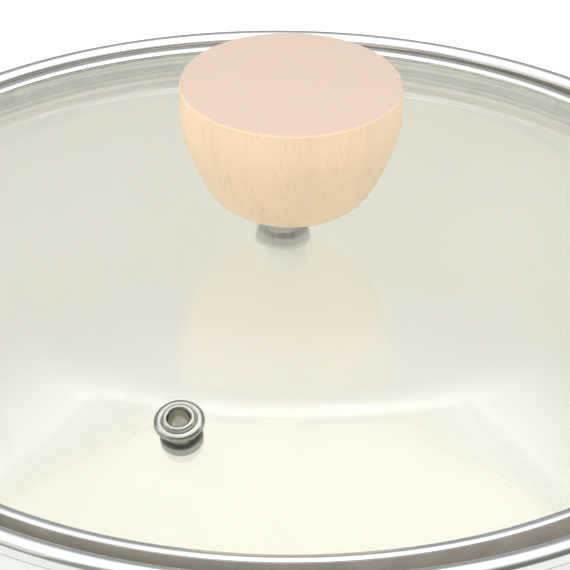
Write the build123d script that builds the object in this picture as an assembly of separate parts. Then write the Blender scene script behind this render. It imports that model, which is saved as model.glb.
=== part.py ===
from build123d import *
import os
from math import atan, atan2, cos, degrees, radians, sin, sqrt, tan

# Saucepan with a glass lid, in millimetres. The pan stands on Z = 0 with its own axis on Z,
# and the handle points along +X.

# --- driving dimensions: pan -------------------------------------------------------------------
rim_height = 86.05            # top of the steel band above the table
seat_radius = 100.1           # recess that the lid drops into
rim_width = 4.5               # across the rolled rim
seat_depth = 6.35             # lid ledge below the top of the rim
ledge_width = 3.5             # what the flange of the lid rests on
wall_taper = 4.1              # how far the inside of the wall leans in on its way to the floor
floor_corner = 27.0           # round between wall and floor
floor_thickness = 3.4
wall_thickness = 3.2
shoulder_top = 7.5            # straight part of the rim, below the top
shoulder_height = 14.0        # run of the curve from rim to wall
band_thickness = 0.5
band_inner_foot = 0.7         # inner leg of the band ends this far above the ledge
band_outer_leg = 3.45         # outside of the band, below the top of the rim
disc_inset = 1.5              # edge of the base disc inside the flat of the floor
disc_thickness = 1.6
disc_grooves = 4
disc_groove_width = 2.0
disc_groove_depth = 0.3

# --- driving dimensions: lid -------------------------------------------------------------------
lid_play_shift = 1.24         # the loose lid rests this far to one side of its seat
lid_seat_clearance = 0.36     # what is left at the tight side
glass_thickness = 3.6
glass_bevel = 0.6             # ground lower edge
glass_rise = 11.5             # flat middle of the glass above the lip of the ring
slope_width = 39.3            # from the flat middle out to the lip
glass_bend_radius = 35.3      # between the flat middle and the slope
flange_width = 1.1            # flange of the ring outside the glass channel
lip_width = 2.6               # lip of the ring over the glass
lip_height = 0.9
sheet_thickness = 0.5         # steel of the lid ring
edge_seal = 0.6               # silicone between the edge of the glass and the ring
channel_floor_seal = 0.63     # silicone between the underside of the glass and the ring
skirt_length = 1.15           # skirt below the flange

knob_radius = 21.6
knob_height = 28.0
knob_base_radius = 6.6
knob_top_round = 0.5
knob_lean = 1.1               # the turned knob stands this far off its screw
collar_radius = 5.7
collar_thickness = 1.1
gasket_thickness = 0.6
upper_gasket_radius = 4.6
glass_hole_radius = 3.4
screw_radius = 2.45
insert_radius = 3.9
insert_length = 10.0
cup_radius = 5.6              # cup that covers the spring washer and the screw head
cup_wall = 0.9
lock_washer_radius = 3.9
lock_washer_thickness = 1.2
screw_head_radius = 4.1
screw_head_height = 2.7

vent_inset = 24.6             # middle of the vent inside the lip
vent_direction = 255.4        # degrees round the lid
vent_bore_radius = 2.0
vent_tube_radius = 2.6
vent_flange_radius = 4.55
vent_flange_height = 1.6
vent_gasket_radius = 4.2
vent_gasket_thickness = 0.45
vent_washer_thickness = 0.8
vent_clinch_height = 0.5

# --- driving dimensions: handle ----------------------------------------------------------------
handle_drop = 34.05           # handle's axis at the wall, below the top of the rim
handle_rise = 12.0            # degrees above level
pad_width = 47.0
pad_height = 22.0
pad_thickness = 3.0
rivet_radius = 2.5
rivet_head_radius = 5.2
rivet_head_height = 1.8
rivet_spread = 16.5           # rivet to handle axis, along the wall
stem_radius = 8.5
stem_flare = 3.0              # how much wider the stem is at the wall
stem_length = 22.0
ferrule_start = 14.0
ferrule_wall = 2.1            # at its narrow end
ferrule_lip = 2.4             # at its wide end, round the tenon of the grip
grip_start = 36.0
grip_start_radius = 13.2
grip_length = 130.0
grip_mid_width = 15.0
grip_mid_height = 11.5
grip_end_width = 13.4
grip_end_height = 10.4
handle_washer_thickness = 1.5
rod_radius = 2.95
rod_start = 5.0
cap_length = 9.0
lug_width = 7.0
lug_height = 9.0
lug_reach = 8.0               # end of the cap to the pivot of the loop
loop_wire_radius = 1.5
loop_width = 27.0
loop_length = 42.0
loop_corner = 8.5

# --- clearances --------------------------------------------------------------------------------
fit_gap = 0.05                # pieces of one assembly that touch
running_gap = 0.08            # loop in its eye
rod_gap = 0.35                # rod in the wood

# --- derived -----------------------------------------------------------------------------------
rim_axis_radius = seat_radius + rim_width / 2
rim_outer_radius = seat_radius + rim_width
rim_round_z = rim_height - rim_width / 2
ledge_z = rim_height - seat_depth
band_foot_z = ledge_z + band_inner_foot
mouth_radius = seat_radius - ledge_width
floor_radius = mouth_radius - wall_taper
floor_under_z = disc_thickness + fit_gap
floor_z = floor_under_z + floor_thickness
wall_base_radius = floor_radius + wall_thickness
wall_top_radius = mouth_radius + wall_thickness
disc_radius = floor_radius - floor_corner - disc_inset
shoulder_start_z = rim_height - shoulder_top
wall_top_z = shoulder_start_z - shoulder_height
lid_side_gap = lid_play_shift + lid_seat_clearance
flange_radius = seat_radius - lid_side_gap
skirt_radius = mouth_radius - lid_side_gap
lip_outer_radius = flange_radius - flange_width
lip_inner_radius = lip_outer_radius - lip_width
glass_radius = lip_outer_radius - sheet_thickness - edge_seal
flat_radius = lip_inner_radius - slope_width
bend_share = 2 * glass_bend_radius - glass_rise
glass_slope = 2 * atan((slope_width - sqrt(slope_width**2 - bend_share * glass_rise)) / bend_share)


def glass_z(radius, below=0.0):
    """Height of the glass above the lip at a radius; below = distance under the top face."""
    bend = glass_bend_radius - below
    bend_centre = glass_rise - glass_bend_radius
    out = radius - flat_radius
    if out <= 0:
        return glass_rise - below
    if out <= bend * sin(glass_slope):
        return bend_centre + sqrt(bend**2 - out**2)
    return bend_centre + bend / cos(glass_slope) - out * tan(glass_slope)


channel_depth = channel_floor_seal - glass_z(glass_radius - glass_bevel, glass_thickness)
flange_thickness = sheet_thickness + 0.2
flange_under = channel_depth + sheet_thickness
skirt_depth = flange_under + skirt_length
lip_z = ledge_z + fit_gap + flange_under
ferrule_radius = stem_radius + ferrule_wall
tenon_radius = grip_start_radius - ferrule_lip
handle_height = rim_height - handle_drop

os.makedirs("parts", exist_ok=True)


def save(name, shape):
    """Write one node's STEP file."""
    export_step(shape, f"parts/{name}.step")


def turned(*edges):
    """Solid of revolution about Z from an outline drawn as (radius, height)."""
    return revolve(Plane.XZ * make_face(Curve() + list(edges)), Axis.Z)


def turned_polygon(*points):
    """Solid of revolution about Z from straight lines."""
    return turned(Polyline(*points, close=True))


def washer(inner, outer, bottom, top, edge=0.0):
    """Flat ring; edge rounds its outer rims."""
    ring = turned_polygon((inner, bottom), (outer, bottom), (outer, top), (inner, top))
    if edge:
        rims = [e for e in ring.edges().filter_by(GeomType.CIRCLE) if abs(e.radius - outer) < 1e-6]
        ring = fillet(rims, edge)
    return ring


def s_curve(start, end):
    """Two equal arcs from start down to end, upright at both ends."""
    across = start[0] - end[0]
    down = start[1] - end[1]
    radius = (across**2 + down**2) / (4 * across)
    half_turn = atan2(down / 2, radius - across / 2) / 2
    middle = ((start[0] + end[0]) / 2, (start[1] + end[1]) / 2)
    reach = radius * (1 - cos(half_turn))
    rise = radius * sin(half_turn)
    return [
        ThreePointArc(start, (start[0] - reach, start[1] - rise), middle),
        ThreePointArc(middle, (end[0] + reach, end[1] + rise), end),
    ]


def corner_arc(corner, before, after, radius):
    """Arc that rounds a corner between two straight lines, with its two ends."""
    to_before = (Vector(*before) - Vector(*corner)).normalized()
    to_after = (Vector(*after) - Vector(*corner)).normalized()
    half = radians(to_before.get_angle(to_after)) / 2
    reach = radius * cos(half) / sin(half)
    start = Vector(*corner) + to_before * reach
    end = Vector(*corner) + to_after * reach
    bisector = (to_before + to_after).normalized()
    middle = Vector(*corner) + bisector * (radius / sin(half) - radius)
    return ThreePointArc(start, middle, end), start, end


# --- pan ---------------------------------------------------------------------------------------
def pan_outside(grow):
    """Outer surface of the pan below the rim, grown outward, as edges from the floor up."""
    base = (wall_base_radius + grow, floor_under_z - grow)
    top = (wall_top_radius + grow, wall_top_z)
    arc, start, end = corner_arc(base, (0, base[1]), top, floor_corner + wall_thickness)
    shoulder = s_curve((rim_outer_radius - fit_gap + grow, shoulder_start_z), top)
    return [Line((0, base[1]), start), arc, Line(end, top), *shoulder]


def make_pan_body():
    """Cast vessel with a ledge for the lid and a rounded core inside the steel band."""
    core_round = rim_width / 2 - band_thickness - fit_gap
    core_inner = rim_axis_radius - core_round
    core_outer = rim_axis_radius + core_round
    band_end_out = rim_height - band_outer_leg
    flush = rim_outer_radius - fit_gap
    corner = (floor_radius, floor_z)
    mouth = (mouth_radius, ledge_z)
    mouth_round, mouth_low, mouth_high = corner_arc(mouth, corner, (seat_radius, ledge_z), 0.5)
    arc, start, end = corner_arc(corner, (0, floor_z), mouth, floor_corner)
    edges = pan_outside(0)
    edges += [
        Line((flush, shoulder_start_z), (flush, band_end_out - fit_gap)),
        Line((flush, band_end_out - fit_gap), (core_outer, band_end_out - fit_gap)),
        Line((core_outer, band_end_out - fit_gap), (core_outer, rim_round_z)),
        ThreePointArc((core_outer, rim_round_z), (rim_axis_radius, rim_round_z + core_round),
                      (core_inner, rim_round_z)),
        Line((core_inner, rim_round_z), (core_inner, band_foot_z)),
        Line((core_inner, band_foot_z), (seat_radius, band_foot_z)),
        Line((seat_radius, band_foot_z), (seat_radius, ledge_z)),
        Line((seat_radius, ledge_z), mouth_high),
        mouth_round,
        Line(mouth_low, end),
        arc,
        Line(start, (0, floor_z)),
        Line((0, floor_z), (0, floor_under_z)),
    ]
    body = turned(*edges)
    for hole in rivet_places():
        body -= hole * Cylinder(rivet_radius + fit_gap, 4 * wall_thickness)
    return body


def make_rim_band():
    """Steel strip rolled over the rim."""
    outer = rim_width / 2
    inner = outer - band_thickness
    low_in = band_foot_z + fit_gap
    low_out = rim_height - band_outer_leg
    r = rim_axis_radius
    z = rim_round_z
    return turned(
        Line((r - outer, low_in), (r - outer, z)),
        ThreePointArc((r - outer, z), (r, z + outer), (r + outer, z)),
        Line((r + outer, z), (r + outer, low_out)),
        Line((r + outer, low_out), (r + inner, low_out)),
        Line((r + inner, low_out), (r + inner, z)),
        ThreePointArc((r + inner, z), (r, z + inner), (r - inner, z)),
        Line((r - inner, z), (r - inner, low_in)),
        Line((r - inner, low_in), (r - outer, low_in)),
    )


def make_induction_base():
    """Steel disc under the floor, with shallow turned grooves that stop it sticking to a hob."""
    disc = washer(0, disc_radius, 0, disc_thickness, 0.5)
    for groove in range(1, disc_grooves + 1):
        radius = disc_radius * groove / (disc_grooves + 1)
        half = disc_groove_width / 2
        disc -= washer(radius - half, radius + half, 0, disc_groove_depth)
    return disc


# --- handle ------------------------------------------------------------------------------------
def wall_radius_at(z):
    """Radius of the outside of the straight wall."""
    share = (z - floor_under_z) / (wall_top_z - floor_under_z)
    return wall_base_radius + (wall_top_radius - wall_base_radius) * share


def wall_inner_radius_at(z):
    """Radius of the inside of the straight wall."""
    share = (z - floor_z) / (ledge_z - floor_z)
    return floor_radius + (mouth_radius - floor_radius) * share


wall_slope = degrees(atan2(wall_top_radius - wall_base_radius, wall_top_z - floor_under_z))
handle_root = (wall_radius_at(handle_height), 0, handle_height)
handle_direction = (cos(radians(handle_rise)), 0, sin(radians(handle_rise)))
handle_plane = Plane(origin=handle_root, x_dir=(0, 1, 0), z_dir=handle_direction)
grip_end = grip_start + grip_length
cap_end = grip_end + fit_gap + cap_length
loop_pivot = cap_end + lug_reach


def rivet_places():
    """Frames at the two rivets, on the outside of the wall with Z out of the pan."""
    radius = wall_radius_at(handle_height)
    places = []
    for side in (-1, 1):
        turn = side * degrees(rivet_spread / radius)
        places.append(Rot(0, 0, turn) * Pos(radius, 0, handle_height) * Rot(0, 90 + wall_slope, 0))
    return places


def along(start, end, radius, end_radius=None):
    """Round bar, or cone, along the handle's axis."""
    last = radius if end_radius is None else end_radius
    bar = turned_polygon((0, start), (radius, start), (last, end), (0, end))
    return handle_plane * bar


def wall_copy(grow):
    """Solid block with the shape of the outside of the pan, for cutting what lies against it."""
    rim = rim_outer_radius - fit_gap + grow
    edges = pan_outside(grow)
    edges += [
        Line((rim, shoulder_start_z), (rim, rim_height)),
        Line((rim, rim_height), (0, rim_height)),
        Line((0, rim_height), (0, floor_under_z - grow)),
    ]
    return turned(*edges)


def make_handle_bracket():
    """Pad that follows the wall, with a stem that the handle screws into."""
    block = Box(4 * pad_height, pad_width, pad_height)
    block = fillet(block.edges().filter_by(Axis.X), 7)
    pad = wall_copy(pad_thickness) & (Pos(*handle_root) * block)
    flare = loft([
        handle_plane * Pos(0, 0, -6) * Ellipse(stem_radius + stem_flare, stem_radius + stem_flare / 2),
        handle_plane * Pos(0, 0, ferrule_start - 3) * Circle(stem_radius),
    ])
    bracket = pad + flare + along(ferrule_start - 3.5, stem_length, stem_radius)
    bracket -= wall_copy(fit_gap)
    bracket -= along(rod_start - 1, stem_length + 1, rod_radius + fit_gap)
    for hole in rivet_places():
        bracket -= hole * Cylinder(rivet_radius + fit_gap, 8 * pad_thickness)
    return bracket


def make_rivets():
    """Two rivets through wall and pad, domed inside and outside."""
    outer_seat = pad_thickness + 2 * fit_gap
    inside = wall_inner_radius_at(handle_height)
    sag = rivet_head_radius**2 / (2 * inside)
    inner_seat = inside - wall_radius_at(handle_height) - sag - 3 * fit_gap
    tip = rivet_head_height
    ball = (rivet_head_radius**2 + tip**2) / (2 * tip)
    half = rivet_head_radius / 2
    dome = (half, sqrt(ball**2 - half**2) - ball + tip)
    rivet = turned(
        ThreePointArc((0, outer_seat + tip), (dome[0], outer_seat + dome[1]), (rivet_head_radius, outer_seat)),
        Line((rivet_head_radius, outer_seat), (rivet_radius, outer_seat)),
        Line((rivet_radius, outer_seat), (rivet_radius, inner_seat)),
        Line((rivet_radius, inner_seat), (rivet_head_radius, inner_seat)),
        ThreePointArc((rivet_head_radius, inner_seat), (dome[0], inner_seat - dome[1]), (0, inner_seat - tip)),
        Line((0, inner_seat - tip), (0, outer_seat + tip)),
    )
    return Compound(children=[place * rivet for place in rivet_places()])


def make_ferrule():
    """Flared steel sleeve that covers the joint of stem and grip."""
    end = grip_start - fit_gap
    sleeve = along(ferrule_start, end, ferrule_radius, grip_start_radius)
    sleeve -= along(ferrule_start - 1, stem_length + fit_gap, stem_radius + fit_gap)
    sleeve -= along(stem_length, end + 1, tenon_radius + fit_gap)
    return sleeve


def make_handle_washer():
    """Soft washer that keeps the wood off the hot stem."""
    start = stem_length + fit_gap
    end = start + handle_washer_thickness
    return along(start, end, tenon_radius) - along(start - 1, end + 1, rod_radius + rod_gap)


def make_grip():
    """Turned and flattened wooden grip with a tenon for the ferrule."""
    stations = [
        (0.0, grip_start_radius, grip_start_radius),
        (0.45, grip_mid_width, grip_mid_height),
        (0.8, grip_mid_width + 0.7, grip_mid_height + 0.4),
        (1.0, grip_end_width, grip_end_height),
    ]
    rings = []
    for share, half_width, half_height in stations:
        at = Pos(0, 0, grip_start + share * grip_length)
        rings.append(handle_plane * at * Ellipse(half_width, half_height + 0.001))
    start = stem_length + handle_washer_thickness + 2 * fit_gap
    grip = loft(rings) + along(start, grip_start + 1, tenon_radius)
    return grip - along(start - 1, grip_end + 1, rod_radius + rod_gap)


def make_rod():
    """Threaded rod from the bracket to the end cap."""
    return along(rod_start, cap_end - 4, rod_radius)


def make_end_cap():
    """Steel cap with an eye for the hanging loop."""
    start = grip_end + fit_gap
    cap = loft([
        handle_plane * Pos(0, 0, start) * Ellipse(grip_end_width - 0.3, grip_end_height - 0.3),
        handle_plane * Pos(0, 0, start + cap_length * 0.55) * Ellipse(grip_end_width - 2.6, grip_end_height - 2.2),
        handle_plane * Pos(0, 0, cap_end) * Ellipse(lug_width / 2 + 2, lug_height / 2 + 0.6),
    ])
    reach = lug_reach + 1
    lug = Pos(0, 0, cap_end - 1 + reach / 2) * Box(lug_width, lug_height, reach)
    lug += Pos(0, 0, loop_pivot) * Rot(0, 90, 0) * Cylinder(lug_height / 2, lug_width)
    cap += handle_plane * lug
    eye = Pos(0, 0, loop_pivot) * Rot(0, 90, 0) * Cylinder(loop_wire_radius + running_gap, 2 * lug_width)
    cap -= handle_plane * eye
    return cap - along(start - 1, cap_end - 4 + fit_gap, rod_radius + fit_gap)


def make_hanging_loop():
    """Wire bail, closed on itself, hanging straight down from its eye."""
    pivot = handle_plane * Pos(0, 0, loop_pivot)
    centre = (pivot.position.X, 0, pivot.position.Z - loop_length / 2)
    outline = Plane(origin=centre, x_dir=(0, 1, 0), z_dir=(1, 0, 0)) * RectangleRounded(
        loop_width, loop_length, loop_corner)
    path = outline.wire()
    start = Plane(origin=path @ 0, z_dir=path % 0)
    return sweep(start * Circle(loop_wire_radius), path=path)


# --- lid, drawn with the lip of its ring at Z = 0 -----------------------------------------------
def glass_bend(below):
    """Arc of one face of the glass from the flat middle to the slope."""
    bend = glass_bend_radius - below
    bend_centre = glass_rise - glass_bend_radius
    points = []
    for turn in (0.0, glass_slope / 2, glass_slope):
        points.append((flat_radius + bend * sin(turn), bend_centre + bend * cos(turn)))
    return points


def glass_blank(grow):
    """Glass with a flat middle, a sloped outer part and a ground lower edge, grown by a gap."""
    edge = glass_radius + grow
    inner = edge - glass_bevel
    top = glass_bend(-grow)
    under = glass_bend(glass_thickness + grow)
    edge_top = glass_z(edge, -grow)
    edge_under = glass_z(inner, glass_thickness + grow)
    return turned(
        Line((0, glass_rise + grow), top[0]),
        ThreePointArc(*top),
        Line(top[2], (edge, edge_top)),
        Line((edge, edge_top), (edge, edge_under + glass_bevel / 2)),
        Line((edge, edge_under + glass_bevel / 2), (inner, edge_under)),
        Line((inner, edge_under), under[2]),
        ThreePointArc(*reversed(under)),
        Line(under[0], (0, under[0][1])),
        Line((0, under[0][1]), (0, glass_rise + grow)),
    )


vent_radius = lip_inner_radius - vent_inset
vent_x = vent_radius * cos(radians(vent_direction))
vent_y = vent_radius * sin(radians(vent_direction))
vent_plane = Plane(origin=(vent_x, vent_y, glass_z(vent_radius)),
                   z_dir=(vent_x, vent_y, vent_radius / tan(glass_slope)))


def make_glass():
    glass = glass_blank(0) - Cylinder(glass_hole_radius, 4 * glass_rise)
    return glass - vent_plane * Cylinder(vent_tube_radius + 3 * fit_gap, 4 * glass_thickness)


def make_rim_ring():
    """Lip over the glass, channel round its edge, seat flange and locating skirt."""
    inside = lip_outer_radius - sheet_thickness
    lip_middle = (lip_inner_radius + lip_outer_radius) / 2
    thin = sheet_thickness - 0.1
    curl_radius = lip_inner_radius - 1.0
    flange_top = -flange_under + flange_thickness
    skirt_inner = skirt_radius - sheet_thickness - 0.1
    lip_tip = (lip_inner_radius, glass_z(lip_inner_radius) + fit_gap)
    lip_back = (lip_inner_radius + 0.25, glass_z(lip_inner_radius + 0.25) + fit_gap)
    return turned(
        ThreePointArc(lip_tip, (lip_middle - 0.2, lip_height), (lip_outer_radius, lip_height / 2 - 0.1)),
        Line((lip_outer_radius, lip_height / 2 - 0.1), (lip_outer_radius, flange_top)),
        Line((lip_outer_radius, flange_top), (flange_radius, flange_top)),
        Line((flange_radius, flange_top), (flange_radius, -flange_under)),
        Line((flange_radius, -flange_under), (skirt_radius, -flange_under)),
        Line((skirt_radius, -flange_under), (skirt_radius, -skirt_depth)),
        Line((skirt_radius, -skirt_depth), (skirt_inner, -skirt_depth)),
        Line((skirt_inner, -skirt_depth), (skirt_inner, -flange_under)),
        Line((skirt_inner, -flange_under), (curl_radius, -flange_under)),
        Line((curl_radius, -flange_under), (curl_radius, -channel_depth)),
        Line((curl_radius, -channel_depth), (inside, -channel_depth)),
        Line((inside, -channel_depth), (inside, 0.0)),
        ThreePointArc((inside, 0.0), (lip_middle - 0.1, lip_height - thin), lip_back),
        Line(lip_back, lip_tip),
    )


def make_rim_seal():
    """Silicone channel between the edge of the glass and the ring."""
    outer = lip_outer_radius - sheet_thickness - fit_gap
    low = -channel_depth + fit_gap
    block = turned_polygon(
        (lip_inner_radius + 0.6, -1), (lip_inner_radius + 0.6, 0.0), (outer - 0.2, 0.0), (outer, -0.2),
        (outer, low), (lip_inner_radius - 0.4, low), (lip_inner_radius - 0.4, low + 1.5))
    return block - glass_blank(fit_gap)


# --- knob stack, from the glass up and down -----------------------------------------------------
glass_top = glass_rise
glass_under = glass_rise - glass_thickness
upper_gasket_z = glass_top + fit_gap
collar_z = upper_gasket_z + gasket_thickness + fit_gap
knob_z = collar_z + collar_thickness + fit_gap
lower_gasket_z = glass_under - fit_gap - gasket_thickness
cup_plate_z = lower_gasket_z - fit_gap - cup_wall
lock_washer_z = cup_plate_z - fit_gap - lock_washer_thickness
screw_head_z = lock_washer_z - fit_gap - screw_head_height
bolt_hole = screw_radius + fit_gap


def make_knob():
    """Turned bowl shape: flat on top, widest near the top, drawn in to a small base."""
    top = knob_z + knob_height
    edge_z = top - knob_top_round
    edge_radius = knob_radius - 0.15
    widest_z = knob_z + 0.8 * knob_height
    flank = Spline(
        (knob_base_radius, knob_z + 0.4),
        (knob_radius * 0.68, knob_z + 0.165 * knob_height),
        (knob_radius * 0.92, knob_z + 0.52 * knob_height),
        (knob_radius, widest_z),
        (edge_radius, edge_z),
        tangents=[(1.0, 0.35), (-0.06, 1.0)],
    )
    top_edge = ThreePointArc(
        (edge_radius, edge_z),
        (edge_radius - 0.29 * knob_top_round, top - 0.29 * knob_top_round),
        (edge_radius - knob_top_round, top),
    )
    bowl = turned(
        Line((0, knob_z), (knob_base_radius - 0.4, knob_z)),
        Line((knob_base_radius - 0.4, knob_z), (knob_base_radius, knob_z + 0.4)),
        flank,
        top_edge,
        Line((edge_radius - knob_top_round, top), (0, top)),
        Line((0, top), (0, knob_z)),
    )
    pocket_height = insert_length + 2
    pocket = Pos(0, 0, knob_z + pocket_height / 2 - 1) * Cylinder(insert_radius + fit_gap, pocket_height + 2)
    return Pos(knob_lean, 0, 0) * bowl - pocket


def make_knob_insert():
    return washer(bolt_hole, insert_radius, knob_z + fit_gap, knob_z + insert_length, 0.3)


def make_knob_collar():
    return washer(bolt_hole, collar_radius, collar_z, collar_z + collar_thickness, 0.35)


def make_upper_gasket():
    """Washer with a nose that keeps the screw off the glass."""
    plate = washer(bolt_hole, upper_gasket_radius, upper_gasket_z, upper_gasket_z + gasket_thickness)
    nose_end = glass_under + glass_thickness / 2
    return plate + washer(bolt_hole, glass_hole_radius - 2 * fit_gap, nose_end, upper_gasket_z + 0.2)


def make_lower_gasket():
    return washer(bolt_hole, cup_radius - 0.3, lower_gasket_z, lower_gasket_z + gasket_thickness)


def make_cup_washer():
    """Cup, open downwards, with the spring washer and the screw head inside it."""
    plate = washer(bolt_hole, cup_radius, cup_plate_z, cup_plate_z + cup_wall, 0.35)
    return plate + washer(cup_radius - cup_wall, cup_radius, screw_head_z + cup_wall / 2, cup_plate_z + cup_wall / 2)


def make_lock_washer():
    """Spring washer with its split."""
    ring = washer(bolt_hole, lock_washer_radius, lock_washer_z, lock_washer_z + lock_washer_thickness)
    split = Pos(lock_washer_radius / 2 + 1, 0, lock_washer_z) * Rot(30, 0, 0) * Box(
        lock_washer_radius, 0.6, 6 * lock_washer_thickness)
    return ring - split


def make_knob_screw():
    """Pan-head screw with a cross recess."""
    shank_end = knob_z + insert_length - 1
    shank_start = screw_head_z + screw_head_height
    shank = turned_polygon((0, shank_start - 1), (screw_radius, shank_start - 1),
                           (screw_radius, shank_end - 0.6), (screw_radius - 0.6, shank_end), (0, shank_end))
    head = turned_polygon((0, screw_head_z), (screw_head_radius - 1, screw_head_z),
                          (screw_head_radius, screw_head_z + 1), (screw_head_radius, shank_start),
                          (0, shank_start))
    screw = head + shank
    for turn in (0, 90):
        screw -= Pos(0, 0, screw_head_z + 0.5) * Rot(0, 0, turn) * Box(5.2, 1.0, 2.2)
    return screw


# --- vent, drawn on the glass with Z out of the dome --------------------------------------------
vent_gasket_top = fit_gap + vent_gasket_thickness
vent_flange_z = vent_gasket_top + fit_gap
vent_washer_top = -glass_thickness - 2 * fit_gap
vent_washer_under = vent_washer_top - vent_washer_thickness


def make_vent_eyelet():
    """Tube with a rolled flange on top and a clinched foot under the washer."""
    rise = vent_flange_height
    low = vent_flange_z
    step = vent_flange_radius * 0.62
    bead = (vent_bore_radius + step) / 2
    foot_top = vent_washer_under - fit_gap
    foot_end = foot_top - vent_clinch_height
    foot_radius = vent_tube_radius + 0.7
    outline = [
        ThreePointArc((vent_bore_radius, low + rise * 0.7), (bead, low + rise), (step, low + rise * 0.7)),
        Line((step, low + rise * 0.7), (step + 0.35, low + rise * 0.7)),
        ThreePointArc((step + 0.35, low + rise * 0.7), (vent_flange_radius - 0.25, low + rise * 0.6),
                      (vent_flange_radius, low + 0.15)),
        Line((vent_flange_radius, low + 0.15), (vent_flange_radius - 0.15, low)),
        Line((vent_flange_radius - 0.15, low), (vent_tube_radius, low)),
        Line((vent_tube_radius, low), (vent_tube_radius, foot_top)),
        Line((vent_tube_radius, foot_top), (foot_radius, foot_top)),
        Line((foot_radius, foot_top), (foot_radius - 0.2, foot_end)),
        Line((foot_radius - 0.2, foot_end), (vent_bore_radius, foot_end)),
        Line((vent_bore_radius, foot_end), (vent_bore_radius, low + rise * 0.7)),
    ]
    return vent_plane * turned(*outline)


def make_vent_gasket():
    return vent_plane * washer(vent_tube_radius + fit_gap, vent_gasket_radius, fit_gap, vent_gasket_top)


def make_vent_washer():
    return vent_plane * washer(vent_tube_radius + fit_gap, vent_flange_radius, vent_washer_under, vent_washer_top)


# --- build -------------------------------------------------------------------------------------
pan_pieces = {
    "pan_body": make_pan_body,
    "rim_band": make_rim_band,
    "induction_base": make_induction_base,
    "handle_bracket": make_handle_bracket,
    "handle_rivets": make_rivets,
    "handle_ferrule": make_ferrule,
    "handle_washer": make_handle_washer,
    "handle_grip": make_grip,
    "handle_rod": make_rod,
    "handle_end_cap": make_end_cap,
    "hanging_loop": make_hanging_loop,
}
lid_pieces = {
    "lid_glass": make_glass,
    "lid_rim_ring": make_rim_ring,
    "lid_rim_seal": make_rim_seal,
    "knob": make_knob,
    "knob_insert": make_knob_insert,
    "knob_collar": make_knob_collar,
    "knob_upper_gasket": make_upper_gasket,
    "knob_lower_gasket": make_lower_gasket,
    "knob_cup_washer": make_cup_washer,
    "knob_lock_washer": make_lock_washer,
    "knob_screw": make_knob_screw,
    "vent_eyelet": make_vent_eyelet,
    "vent_gasket": make_vent_gasket,
    "vent_washer": make_vent_washer,
}

for name, make in pan_pieces.items():
    save(name, make())
lid_place = Pos(-lid_play_shift, 0, lip_z)
for name, make in lid_pieces.items():
    save(name, lid_place * make())

pivot_point = (handle_plane * Pos(0, 0, loop_pivot)).position
print("lid axis", -lid_play_shift, 0, "lip height", lip_z, "knob top", lip_z + knob_z + knob_height)
print("loop pivot", pivot_point.X, pivot_point.Y, pivot_point.Z)
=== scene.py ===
"""Saucepan with a glass lid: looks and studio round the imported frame."""

import math

import bpy
from bpy.props import FloatProperty, FloatVectorProperty, IntProperty, PointerProperty
from bpy.types import Operator, Panel, PropertyGroup
from mathutils import Matrix, Vector


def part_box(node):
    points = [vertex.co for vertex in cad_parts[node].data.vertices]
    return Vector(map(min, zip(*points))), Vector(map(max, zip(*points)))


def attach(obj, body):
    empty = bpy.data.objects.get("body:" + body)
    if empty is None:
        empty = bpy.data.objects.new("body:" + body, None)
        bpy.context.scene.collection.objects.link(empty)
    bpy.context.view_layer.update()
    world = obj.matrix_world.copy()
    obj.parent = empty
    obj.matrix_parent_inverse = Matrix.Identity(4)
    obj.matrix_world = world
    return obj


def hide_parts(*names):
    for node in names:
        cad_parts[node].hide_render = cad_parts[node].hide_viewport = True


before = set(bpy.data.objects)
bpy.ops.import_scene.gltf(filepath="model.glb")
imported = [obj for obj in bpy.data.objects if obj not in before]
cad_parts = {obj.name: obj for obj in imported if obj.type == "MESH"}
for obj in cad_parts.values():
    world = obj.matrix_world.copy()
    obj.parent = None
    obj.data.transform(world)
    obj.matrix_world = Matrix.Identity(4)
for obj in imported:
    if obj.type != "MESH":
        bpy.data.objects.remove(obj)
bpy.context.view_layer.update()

bl_info = {
    "name": "Saucepan with glass lid",
    "version": (1, 0, 0),
    "blender": (4, 5, 0),
    "location": "3D View > Sidebar > Saucepan",
    "description": "Models and finishes a coated saucepan with a steel rim, a glass lid and a wooden handle",
    "category": "Object",
}

MM = 0.001
CLEARANCE = 0.05 * MM
SENSOR_WIDTH = 36.0
TURN_STEPS = 288
SMALL_STEPS = 96
SMOOTH_ANGLE = math.radians(32)


# --- places taken from the frame ------------------------------------------------------------------
def low(node):
    return Vector(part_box(node)[0])


def high(node):
    return Vector(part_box(node)[1])


def middle(node):
    return (low(node) + high(node)) / 2


def radius_of(node):
    return (high(node).x - low(node).x) / 2


LID_AXIS = middle("lid_rim_ring")
SCREW_AXIS = middle("knob_collar")
RIM_TOP = high("rim_band").z
RIM_RADIUS = radius_of("rim_band") - 0.02 * MM
FLOOR_UNDER = low("pan_body").z
SKIRT_END = low("lid_rim_ring").z
GLASS_TOP = high("lid_glass").z


# --- settings -------------------------------------------------------------------------------------
def length(label, value, about):
    """Property for a length in metres."""
    return FloatProperty(name=label, description=about, default=value, unit="LENGTH", precision=5)


def colour(label, value, about):
    """Property for a colour."""
    return FloatVectorProperty(name=label, description=about, default=value, subtype="COLOR",
                               size=3, min=0, max=1)


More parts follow.
